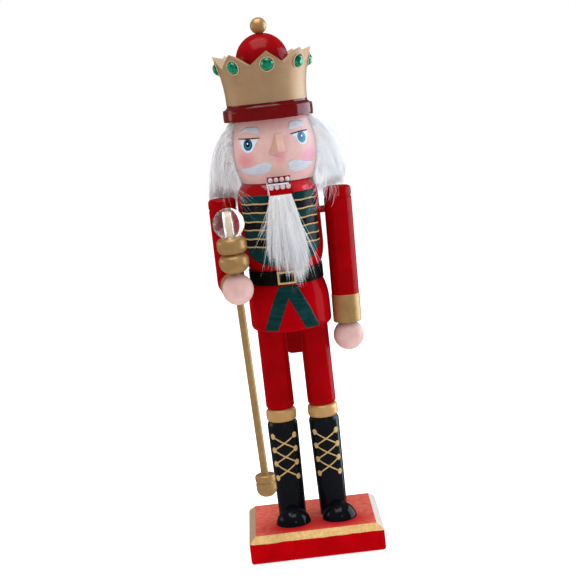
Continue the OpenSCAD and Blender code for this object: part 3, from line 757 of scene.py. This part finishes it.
def paint_mouth():
    middles = [JAW_X + 0.2 + (i - 1.5) * TOOTH_PITCH for i in range(4)]
    left, right = JAW_X - JAW_HALF, JAW_X + JAW_HALF

    def on_face(name, look, outlines, lift, grain=1.3):
        paint(name, look, "head", front_wrap, outlines, lift=lift, grain=grain)

    def on_jaw(name, look, outlines, lift, grain=1.3):
        paint(name, look, "jaw_block", front_wrap, outlines, lift=lift, grain=grain, body="jaw")

    upper = [tooth(u, HEAD_BOTTOM + 3.3, HEAD_BOTTOM + 0.05) for u in middles]
    lower = [tooth(u, JAW_TOP - 3.5, JAW_TOP - 0.4) for u in middles]
    lip = block(left, HEAD_BOTTOM + 0.02, right, HEAD_BOTTOM + 4.1)
    on_face("upper_lip", "red", [lip], 0.10)
    on_face("upper_tooth_edges", "tooth_rim", outlined(upper), 0.15, 0.7)
    # The upper teeth take the lighter, glowing enamel: painted light against the shade under the head.
    on_face("upper_teeth", "tooth_painted_light", upper, 0.2, 0.7)
    on_jaw("lower_tooth_edges", "tooth_rim", outlined(lower), 0.1, 0.7)
    on_jaw("lower_teeth", "low_tooth", lower, 0.16, 0.7)
    biting_edge((left + 0.2, JAW_FRONT, JAW_TOP - 0.55), (right - 1.6, JAW_FRONT + 1.4, JAW_TOP + 0.5))
    # Painted highlight: a pale sliver down the jaw's edge on the figure's right, where its side catches the
    # light.
    wear_and_highlight = ((0, 1), (0.5, 1), (0.75, 6), (0.5, 9.5), (0, 9.5))
    on_jaw("jaw_edge_highlight", "tooth", [[(left + across, JAW_TOP - down) for across, down in wear_and_highlight]], 0.06)


def biting_edge(lowest, highest):
    """White paint on the flat top of the jaw, with its front edge rounded over."""
    (x0, y0, z0), (x1, y1, z1) = lowest, highest
    face = y0 - BITE_OVER
    turns = [pi * i / 8 for i in range(5)]
    round_over = [(face + BITE_ROUND * (1 - cos(t)), z1 - BITE_ROUND * (1 - sin(t))) for t in turns]
    section = [(face, z0), *round_over, (y1, z1), (y1, z0)]
    points = [(x, y, z) for x in (x0, x1) for y, z in section]
    n = len(section)
    caps = [tuple(range(n))[::-1], tuple(range(n, 2 * n))]
    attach(new_mesh("biting_edge", points, caps + join_rings((0, n), n), "tooth"), "jaw")


# ---- Coat ----

TORSO_RADIUS = high("torso").x
BIB_TOP = 260.7
BIB_SIDE = 32.2
BIB_TURN = 226
BIB_DEPTH = 16.5
BRAID_HEIGHTS = (254.9, 248.8, 242.4, 236.6, 230.3, 224.6)
BRAID_WIDTH = 1.05
SLOT_HALF = 8.75
SLOT_BOTTOM = 233.4


def bib_side(v):
    """Half the width of the bib at a height."""
    if v >= BIB_TURN:
        return BIB_SIDE
    return BIB_SIDE * sqrt(max(0, 1 - ((BIB_TURN - v) / BIB_DEPTH) ** 2))


def paint_coat():
    wrap = round_wrap((0, 0), TORSO_RADIUS)
    sides = (JAW_X - SLOT_HALF, JAW_X + SLOT_HALF)
    slot_left, slot_right = (asin(x / TORSO_RADIUS) * TORSO_RADIUS for x in sides)
    slot = block(slot_left, SLOT_BOTTOM, slot_right, BIB_TOP + 5)
    turns = [pi * (1 + i / 30) for i in range(31)]
    bowl = [(BIB_SIDE * cos(t), BIB_TURN + BIB_DEPTH * sin(t)) for t in turns]
    bib = [(-BIB_SIDE, BIB_TOP), *bowl, (BIB_SIDE, BIB_TOP)]
    paint("coat_bib", "green", "torso", wrap, [bib], [slot])
    bands = [
        block(-bib_side(low_v), low_v, bib_side(low_v), high_v)
        for high_v, low_v in zip(BRAID_HEIGHTS[::2], BRAID_HEIGHTS[1::2])
    ]
    paint("coat_bands", "black_enamel", "torso", wrap, bands, [slot], lift=0.16)
    braid = []
    for v in BRAID_HEIGHTS:
        side = bib_side(v)
        wave = [(u, v + 0.22 * sin(u * 0.45 + v)) for u in np.linspace(-side, side, 18)]
        braid.append(stroke(wave, BRAID_WIDTH, 0.8))
    paint("coat_braid", "line", "torso", wrap, braid, [slot], lift=0.26, grain=1.0)


def paint_ribbon_and_buckle():
    wrap = round_wrap((0, 0), high("coat_skirt").x)
    hem = low("coat_skirt").z + 1.1
    tie = low("belt").z - 1.0
    apex = hem + 23.4
    ribbon = [(-7.6, tie), (-22, hem), (-11, hem), (-0.7, apex), (9.8, hem), (21.6, hem), (6.8, tie)]
    paint("sash_tails", "green", "coat_skirt", wrap, [ribbon], lift=0.07)
    belt_low, belt_high = low("belt").z, high("belt").z
    outer = block(-6.9, belt_low + 0.4, 6.1, belt_high - 0.4)
    inner = block(-5.5, belt_low + 1.8, 4.7, belt_high - 1.8)
    wrap = round_wrap((0, 0), high("belt").x)
    paint("buckle", "line", "belt", wrap, [outer], [inner], lift=0.35, grain=0.9)


# ---- Boots ----

EYELET_HEIGHTS = (83.6, 73.3, 63.0, 52.2)
EYELET_TURN = 45


def paint_laces(boot):
    centre = middle(boot)
    radius = high(boot).x - centre.x
    wrap = round_wrap((centre.x, centre.y), radius, -1.5)
    reach = radians(EYELET_TURN) * radius
    eyelets = [oval(s * reach, v, 2.0, 2.2, 18) for v in EYELET_HEIGHTS for s in (-1, 1)]
    laces = [
        stroke([(s * reach, a), (0, (a + b) / 2), (-s * reach, b)], 1.0)
        for a, b in zip(EYELET_HEIGHTS, EYELET_HEIGHTS[1:])
        for s in (-1, 1)
    ]
    paint(boot + "_laces", "line", boot, wrap, laces, lift=0.22, grain=0.9)
    paint(boot + "_eyelets", "line", boot, wrap, eyelets, lift=0.34, grain=0.8)


# ---- Gems ----

GEM_COUNT = 8
GEM_SIDES = 10
GEM_TILT = 15
CROWN_TURN = 4.5
CROWN_SEAT_RADIUS = 32.0
# A stone's rings: share of its radius, height over the seat, and turn in facets
FACET_RINGS = ((1, -0.9, 0.5), (1, 0.6, 0.5), (0.8, 2.0, 0.0), (0.42, 3.1, 0.5))
# The ring round a stone, in section: how far out from the stone, and height over the seat
SEAT_SECTION = ((0.95, -0.05), (0.8, 0.65), (0.3, 0.65), (0.15, -0.05))
SEAT_SIDES = 40


def cut_gems():
    """Rose-cut stones in the crown's seats: a table, a ring of kites and a ring of girdle facets."""
    co = np.array([v.co for v in NODES["crown_gems"].data.vertices]) / MM
    radius = (co[:, 2].max() - co[:, 2].min()) / 2
    neighbours = [(k, (k + 1) % GEM_SIDES) for k in range(GEM_SIDES)]
    points, faces, seat_points, seat_faces = [], [], [], []
    for i in range(GEM_COUNT):
        angle = CROWN_TURN + i * 360 / GEM_COUNT
        outward = co[:, :2] @ np.array(around(angle, 1, 0)[:2])
        heights = co[outward > CROWN_SEAT_RADIUS - 7, 2]
        seat = Vector(around(angle, CROWN_SEAT_RADIUS, (heights.min() + heights.max()) / 2))
        tilt = Matrix.Rotation(radians(90 + GEM_TILT), 3, "X")
        turn = Matrix.Rotation(radians(angle), 3, "Z") @ tilt

        def ring(r, height, count, shift=0.0):
            turns = [2 * pi * (k + shift) / count for k in range(count)]
            return [seat + turn @ Vector((r * cos(t), r * sin(t), height)) for t in turns]

        a, b, c, d = (len(points) + n * GEM_SIDES for n in range(4))
        for share, height, shift in FACET_RINGS:
            points += ring(radius * share, height, GEM_SIDES, shift)
        faces += [tuple(range(a, b))[::-1], *join_rings((a, b), GEM_SIDES)]
        for k, n in neighbours:
            faces += [(b + k, c + n, c + k), (b + k, b + n, c + n)]
        for k, n in neighbours:
            faces += [(c + k, c + n, d + k), (c + n, d + n, d + k)]
        faces.append(tuple(range(d, d + GEM_SIDES)))
        firsts = [len(seat_points) + n % len(SEAT_SECTION) * SEAT_SIDES for n in range(len(SEAT_SECTION) + 1)]
        seat_faces += join_rings(firsts, SEAT_SIDES)
        for out, height in SEAT_SECTION:
            seat_points += ring(radius + out, height, SEAT_SIDES)
    seats = new_mesh("gem_seats", seat_points, seat_faces, "seat", True)
    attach(seats, "figure")
    gems = new_mesh("cut_gems", points, faces, "gem")
    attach(gems, "figure")
    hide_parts("crown_gems")


# ---- Fur ----
#
# A strand is a thin tapering tube with three sides. Strands are made in tufts: the roots of a tuft
# are spread over the skin, and its tips lie close together.


STRAND_POINTS = 8
# How far along its strand each point is
ALONG = np.linspace(0, 1, STRAND_POINTS)[None, :]


def bezier(p0, p1, p2, p3):
    """Points along many cubic curves at once: arrays of n by 3 in, n by STRAND_POINTS by 3 out."""
    t = ALONG[..., None]
    p0, p1, p2, p3 = (p[:, None, :] for p in (p0, p1, p2, p3))
    return (1 - t) ** 3 * p0 + 3 * (1 - t) ** 2 * t * p1 + 3 * (1 - t) * t**2 * p2 + t**3 * p3


def unit(v):
    return v / np.maximum(np.linalg.norm(v, axis=-1, keepdims=True), 1e-9)


def dress(piece, body, node):
    """Fur in place of a CAD node, riding on a body."""
    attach(piece, body)
    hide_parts(node)


def strand_piece(name, paths, thick, random, body="figure", node="hair", look="fur"):
    """One mesh of all the strands. paths is n by count by 3, and thick is the radius at a root."""
    n, count = paths.shape[:2]
    heading = unit(np.gradient(paths, axis=1))
    side = unit(np.cross(heading, random.normal(size=(n, 1, 3))))
    up = np.cross(heading, side)
    taper = np.linspace(1, 0.35, count - 1)[None, :, None]
    thick = thick * (0.75 + 0.5 * random.random((n, 1, 1))) * taper
    edges = [
        paths[:, :-1] + thick * (cos(a) * side[:, :-1] + sin(a) * up[:, :-1])
        for a in (0, 2 * pi / 3, 4 * pi / 3)
    ]
    rings = np.stack(edges, axis=2).reshape(n, -1, 3)
    points = np.concatenate([rings, paths[:, -1:]], axis=1)
    per_strand = points.shape[1]
    last = 3 * (count - 2)
    quads = join_rings(range(0, last + 1, 3), 3)
    tips = [(last + k, last + (k + 1) % 3, per_strand - 1) for k in range(3)] + [(2, 1, 0)]
    shift = (np.arange(n) * per_strand)[:, None]
    corners = np.concatenate([(shift + np.array(kind).reshape(1, -1)).ravel() for kind in (quads, tips)])
    sizes = np.repeat([4, 3], [n * len(quads), n * len(tips)])
    mesh = bpy.data.meshes.new(name)
    mesh.vertices.add(n * per_strand)
    mesh.vertices.foreach_set("co", (points.reshape(-1) * MM).astype(np.float32))
    mesh.loops.add(len(corners))
    mesh.loops.foreach_set("vertex_index", corners.astype(np.int32))
    mesh.polygons.add(len(sizes))
    mesh.polygons.foreach_set("loop_start", (np.cumsum(sizes) - sizes).astype(np.int32))
    mesh.polygons.foreach_set("use_smooth", np.ones(len(sizes), bool))
    mesh.materials.append(looks[look].material)
    mesh.update(calc_edges=True)
    dress(show(name, mesh), body, node)


def round_points(angle, radius, height):
    """Points at angles in degrees, radii and heights round the figure, as an n by 3 array."""
    a = np.radians(angle)
    return np.stack([np.sin(a) * radius, -np.cos(a) * radius, height], axis=-1)


HAIR_TOP = HEAD_TOP - 1.0
HAIR_ROOTS_LOW = HEAD_BOTTOM + 6
SHOULDER_TOP = high("right_upper_sleeve").z
HAIR_EDGE = high("hair").x - HEAD_X
HEAD_END_RADIUS = 24.7
LEVER_PART = JAW_HALF + 2.8
LEVER_RISE = 277
WISP_OUT = 39
HAIR_THICK, WISP_THICK, BEARD_THICK = 0.2, 0.075, 0.19


def head_radius_at(height):
    """The head's radius at a height: its side is a round arc."""
    half = (HEAD_TOP - HEAD_BOTTOM) / 2
    pull_in = HEAD_RADIUS - HEAD_END_RADIUS
    arc = (half * half + pull_in * pull_in) / (2 * pull_in)
    return HEAD_RADIUS - arc + np.sqrt(arc * arc - np.clip(height - (HEAD_BOTTOM + half), -half, half) ** 2)


def grow_hair(name, seed, angle_from, angle_to, tufts, strands):
    """One part of the hair, rooted on the head between two angles."""
    random = np.random.default_rng(seed)
    tuft_angle = random.uniform(angle_from, angle_to, tufts)
    tuft_depth = random.random(tufts) ** 1.25
    tuft_lean = random.normal(0, 4, tufts)
    tuft_drop = random.normal(0, 2.2, tufts)
    tuft_swell = random.normal(0, 1.1, tufts)
    mine = random.integers(0, tufts, strands)
    angle = tuft_angle[mine] + random.normal(0, 2.8, strands)
    angle = np.clip(angle, angle_from - 2, angle_to + 2)
    depth = np.clip(tuft_depth[mine] + random.normal(0, 0.09, strands), 0, 1)
    root_z = HAIR_TOP - depth * (HAIR_TOP - HAIR_ROOTS_LOW)
    root = round_points(angle, head_radius_at(root_z) - 0.3, root_z)
    back = np.clip(np.abs(np.abs(angle) - 90) / 90, 0, 1)
    loose = (random.random(tufts) < 0.4)[mine]
    flick = np.where(loose, random.uniform(1.5, 5.5, tufts)[mine], 0)
    # The lower a root, the nearer to the head its tip hangs
    tip_r = HAIR_EDGE - 1.2 - 15 * depth - 3 * back + tuft_swell[mine] + flick
    tip_r += random.normal(0, 0.45, strands)
    tip_r = np.minimum(tip_r, HAIR_EDGE + 4 + random.normal(0, 0.5, strands))
    tip_z = SHOULDER_TOP + 0.4 + tuft_drop[mine] + np.abs(random.normal(0, 1.8, strands)) - 3.5 * depth * back
    blown = random.uniform(0, 26, tufts)[mine]
    hanging = random.uniform(2, 8, tufts)[mine]
    tip_z += np.where(loose, np.where(angle > 0, blown, -hanging), 0)
    tip_a = tuft_angle[mine] + tuft_lean[mine] + random.normal(0, 0.8, strands)
    behind = -np.cos(np.radians(tip_a)) * tip_r > 13
    on_sleeve = (tip_r > 30) & (tip_r < HAIR_EDGE + 0.5) & ~behind
    tip_z = np.where(on_sleeve, np.maximum(tip_z, SHOULDER_TOP + 0.4), tip_z - 4.5 * behind)
    tip = round_points(tip_a, tip_r, tip_z)
    drop = root_z - tip_z
    out = np.minimum(15, 0.3 * drop + 1.5)
    first = round_points(angle, head_radius_at(root_z) + out, root_z - 0.05 * drop)
    second = round_points((angle + tip_a) / 2, tip_r - 0.6 - flick, tip_z + 0.48 * drop)
    paths = bezier(root, first, second, tip)
    wave = 0.45 * ALONG * np.sin(ALONG * 7 + random.uniform(0, 2 * pi, (strands, 1)))
    paths += wave[..., None] * round_points(angle + 90, 1, 0 * angle)[:, None, :]
    part_hair(paths)
    paths[..., 0] += HEAD_X
    strand_piece(name, paths, HAIR_THICK, random)


def grow_wisps(name, seed, side, strands):
    """A few long loose hairs that fall from the front edge of the hair over the shoulder and the coat."""
    random = np.random.default_rng(seed)
    angle = side * random.uniform(82, 94, strands)
    root_z = HEAD_BOTTOM + random.uniform(2, 9, strands)
    root = round_points(angle, head_radius_at(root_z) + 3, root_z)
    reach = random.random(strands)
    tip_y = -22.5 - 8 * reach + random.normal(0, 0.8, strands)
    tip_z = SHOULDER_TOP - 2 - 15 * random.random(strands) ** 1.5
    tip = np.stack([side * (WISP_OUT - 23 * reach), tip_y, tip_z], axis=-1)
    first = root + np.stack([side * random.uniform(5, 9, strands), -2 - 5 * reach, -1 - 3 * reach], axis=-1)
    outward, upward = side * random.uniform(3, 8, strands), random.uniform(5, 10, strands)
    second = tip + np.stack([outward, -1 + 0 * reach, upward], axis=-1)
    paths = bezier(root, first, second, tip)
    paths[..., 0] += HEAD_X
    strand_piece(name, paths, WISP_THICK, random)


# The underfur in section: how far out, from 0 at the head to 1 at the tips, and share of its height
UNDERFUR = ((0.72, 0), (0.86, 0.06), (0.88, 0.3), (0.82, 0.6), (0.66, 0.85), (0.35, 1))
UNDERFUR_COLUMNS = 64
# How far round from the back it goes, in degrees
UNDERFUR_REACH = 92
UNDERFUR_LOW = SHOULDER_TOP + 2.5


def underfur():
    """The dense white down under the strands: one soft shell round the back and sides of the head."""
    rows = len(UNDERFUR) * 4
    shares = np.linspace(0, 1, rows)
    spread = np.interp(shares, [h for _, h in UNDERFUR], [w for w, _ in UNDERFUR])
    points = []
    for i in range(UNDERFUR_COLUMNS):
        angle = 180 + UNDERFUR_REACH * (2 * i / (UNDERFUR_COLUMNS - 1) - 1)
        away = abs(180 - angle)
        parting = min(1, max(0, (24 - away) / 8))
        bottom = UNDERFUR_LOW + (LEVER_RISE + 5 - UNDERFUR_LOW) * parting
        heights = bottom + (HAIR_TOP - bottom) * shares
        inner = head_radius_at(heights) + 0.3
        ends = min(1, (UNDERFUR_REACH - away) / 16 + 0.15)
        outer = inner + (HAIR_EDGE - 5.5 - 3 * (1 - away / 90) - inner) * spread * ends
        ripple = 0.5 * np.sin(i * 1.9) + 0.35 * np.sin(i * 4.7 + 1)
        ring = [*zip(outer + ripple * ends, heights), *zip(inner[::-1], heights[::-1])]
        points += [around(angle, r, z, HEAD_X) for r, z in ring]
    n = 2 * rows
    last = (UNDERFUR_COLUMNS - 1) * n
    faces = join_rings(range(0, last + 1, n), n)
    faces += [tuple(range(n))[::-1], tuple(range(last, last + n))]
    dress(new_mesh("hair_underfur", points, faces, "down", True), "figure", "hair")


def part_hair(paths):
    """Parts the hair at the back, so that the lever can rise between. x is from the middle of the head."""
    x, y, z = paths[..., 0], paths[..., 1], paths[..., 2]
    behind = (y > 18) & (z < LEVER_RISE + 6)
    share = np.clip((LEVER_RISE + 6 - z) / 9, 0, 1)
    share = share * share * (3 - 2 * share)
    wanted = LEVER_PART * share + 0.25 * np.abs(x)
    side = np.where(paths[:, :1, 0] >= 0, 1, -1)
    paths[..., 0] = np.where(behind & (np.abs(x) < wanted), side * wanted, x)


BEARD_LEAN = 2.0


def grow_beard(seed, tufts, strands):
    """The beard hangs from the front of the jaw, widens, and thins out into wisps below the belt's top."""
    random = np.random.default_rng(seed)
    top, bottom = high("beard").z - 0.6, low("beard").z
    tuft_x = random.uniform(-1, 1, tufts)
    longest = bottom + 1 + 9 * np.abs(tuft_x - 0.35) ** 1.5
    tuft_z = longest + np.abs(random.normal(0, 1, tufts)) * 13
    tuft_y = random.uniform(0, 1, tufts)
    mine = random.integers(0, tufts, strands)
    share = np.clip(tuft_x[mine] + random.normal(0, 0.12, strands), -1, 1)
    root_z = top - random.random(strands) ** 1.5 * 15
    root = np.stack([JAW_X + share * 7.3, JAW_FRONT + 0.1 + 0 * share, root_z], axis=-1)
    tip_z = np.minimum(tuft_z[mine] + random.normal(0.8, 3.6, strands), root_z - 12)
    tip_z = np.maximum(tip_z, bottom - 3.5)
    fallen = (top - tip_z) / (top - bottom)
    lopsided = np.where(tuft_x[mine] < 0, 1.3, 1.05)
    spread = 7.5 + 10 * np.minimum(fallen, 0.7) * lopsided - 3.5 * fallen**5
    stray = random.random(strands) < 0.09
    tip_x = JAW_X + BEARD_LEAN * fallen + tuft_x[mine] * spread + random.normal(0, 0.5, strands)
    tip_x += stray * random.normal(0, 5.0, strands)
    tip_y = JAW_FRONT + 2.2 - 5.5 * tuft_y[mine] + random.normal(0, 0.4, strands)
    tip_y = np.where(tip_z > 232, np.minimum(tip_y, JAW_FRONT - 1.0), tip_y)
    tip = np.stack([tip_x, tip_y, tip_z], axis=-1)
    drop = root_z - tip_z
    bulge = 2.0 + 2.6 * random.random(strands)
    first = root + np.stack([share * 1.2, -bulge, -0.12 * drop], axis=-1)
    second = tip + np.stack([(root[:, 0] - tip_x) * 0.35, -1.2 + 0 * drop, 0.42 * drop], axis=-1)
    paths = bezier(root, first, second, tip)
    paths[..., 0] += 0.4 * ALONG * np.sin(ALONG * 6 + random.uniform(0, 2 * pi, (strands, 1)))
    strand_piece("beard_fur", paths, BEARD_THICK, random, "beard", "beard", "beard")


# ---- Stage ----

LIT_POINT = Vector((0, 0, 200))
FLOOR_RADIUS = 6000
FLOOR_GLOW = 0.62
WINDOW_COLOUR = (0.75, 0.88, 1.0)


def add_light(name, place, width, height, power, colour):
    """A soft panel aimed at the middle of the figure."""
    data = bpy.data.lights.new(name, "AREA")
    data.shape = "RECTANGLE"
    data.size, data.size_y = width * MM, height * MM
    data.energy = power
    data.color = colour
    light = show(name, data)
    light.location = Vector(place) * MM
    light.rotation_mode = "QUATERNION"
    light.rotation_quaternion = (LIT_POINT - Vector(place)).to_track_quat("-Z", "Z")


def add_world(seen, cast, mirrored):
    """A white surround: bright where it is seen, dimmer as a light, and dimmest in glossy paint."""
    world = bpy.data.worlds.new("surround")
    world.use_nodes = True
    tree = world.node_tree
    background = tree.nodes["Background"]
    background.inputs["Color"].default_value = (1, 1, 1, 1)
    path = add_node(tree, "LightPath")
    strength = cast
    for kind, value in (("Is Glossy Ray", mirrored), ("Is Transmission Ray", seen), ("Is Camera Ray", seen)):
        links = {"Factor": path.outputs[kind], "A": strength, "B": value}
        strength = add_node(tree, "Mix", links).outputs["Result"]
    tree.links.new(strength, background.inputs["Strength"])
    world.cycles.sampling_method = "NONE"
    bpy.context.scene.world = world


def add_floor():
    """A wide white card that glows a little, so that it stays white to the horizon."""
    look = Look("floor_card", Roughness=0.8, Specular_IOR_Level=0.1,
                Emission_Color=(1, 1, 1, 1), Emission_Strength=FLOOR_GLOW)
    look.colour(look.noise(40), (0.90, 0.90, 0.90), (0.94, 0.94, 0.94))
    look.material.cycles.emission_sampling = "NONE"
    looks["floor"] = look
    rim = [(x, y, -0.1) for x, y in oval(0, 0, FLOOR_RADIUS, FLOOR_RADIUS, 64)]
    floor = new_mesh("floor", rim, [tuple(range(len(rim)))], "floor")
    floor.visible_glossy = False


def light_stage():
    bpy.context.scene.view_settings.view_transform = "Standard"
    add_world(1.0, 0.5, 0.15)
    add_light("window", (990, 330, 290), 1000, 1100, 14.2, WINDOW_COLOUR)
    add_light("front_lamp", (330, -1150, 700), 260, 260, 0.5, (1, 0.95, 0.9))
    add_light("left_lamp", (-900, 250, 420), 260, 600, 0.9, (1, 0.84, 0.66))
    add_light("top_panel", (-80, -150, 1150), 800, 800, 8.0, (1, 1, 1))
    add_floor()


paint_face()
paint_mouth()
paint_coat()
paint_ribbon_and_buckle()
paint_laces("left_boot")
paint_laces("right_boot")
cut_gems()
underfur()
# A part of the hair: its name, random seed, first and last angle, tufts and strands
grow_hair("hair_left_side", 11, 88, 128, 110, 4400)
grow_hair("hair_back", 12, 122, 238, 230, 4600)
grow_hair("hair_right_side", 13, -128, -88, 110, 4400)
grow_wisps("hair_left_wisps", 15, 1, 46)
grow_wisps("hair_right_wisps", 16, -1, 14)
grow_beard(14, 84, 2300)
light_stage()
